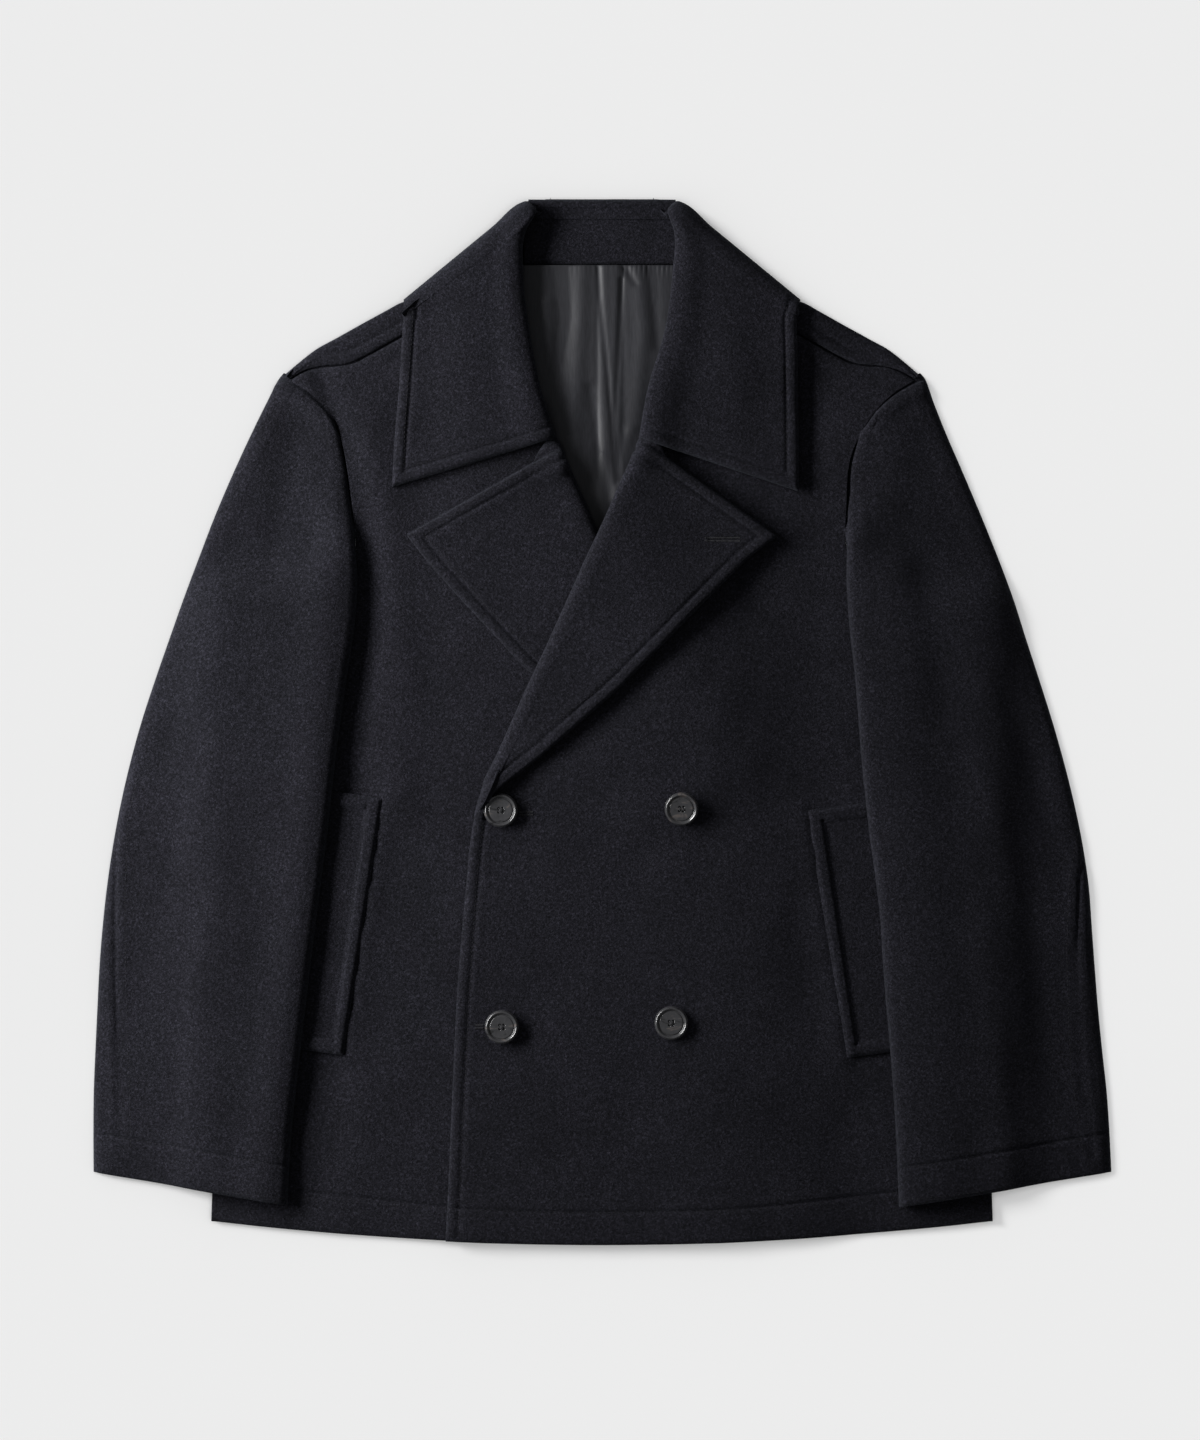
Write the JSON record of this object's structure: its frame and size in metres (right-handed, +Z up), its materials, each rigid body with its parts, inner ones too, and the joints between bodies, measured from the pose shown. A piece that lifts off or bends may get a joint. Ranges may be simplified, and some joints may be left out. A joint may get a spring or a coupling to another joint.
{
  "type": "pea coat",
  "caption": "Double-breasted wool pea coat laid flat, with a wide folded collar, notched lapels, slanted hand-warmer pockets and two-piece sleeves at its sides.",
  "frame": {"origin": "on the surface the coat lies on, under the centre of its bounding box", "axes": "+Z up from the surface, +Y along the back towards the collar, +X towards the wearer's left sleeve"},
  "size_m": [0.7338, 0.7522, 0.0277],
  "materials": {
    "wool_melton": "very dark navy melton wool with a short matt nap",
    "satin_lining": "dark grey satin with a soft sheen",
    "horn_buttons": "dark grey-brown horn-like resin, satin polish"
  },
  "bodies": {
    "root": {"back": "wool_melton", "back_lining": "satin_lining", "collar_stand": "wool_melton", "collar": "wool_melton", "front_left": "wool_melton", "facing_left": "wool_melton", "sleeve_left_under": "wool_melton", "sleeve_left_top": "wool_melton", "pocket_welt_left": "wool_melton", "front_right": "wool_melton", "facing_right": "wool_melton", "sleeve_right_under": "wool_melton", "sleeve_right_top": "wool_melton", "pocket_welt_right": "wool_melton", "button_1": "horn_buttons", "button_2": "horn_buttons", "button_3": "horn_buttons", "button_4": "horn_buttons"}
  },
  "joints": []
}
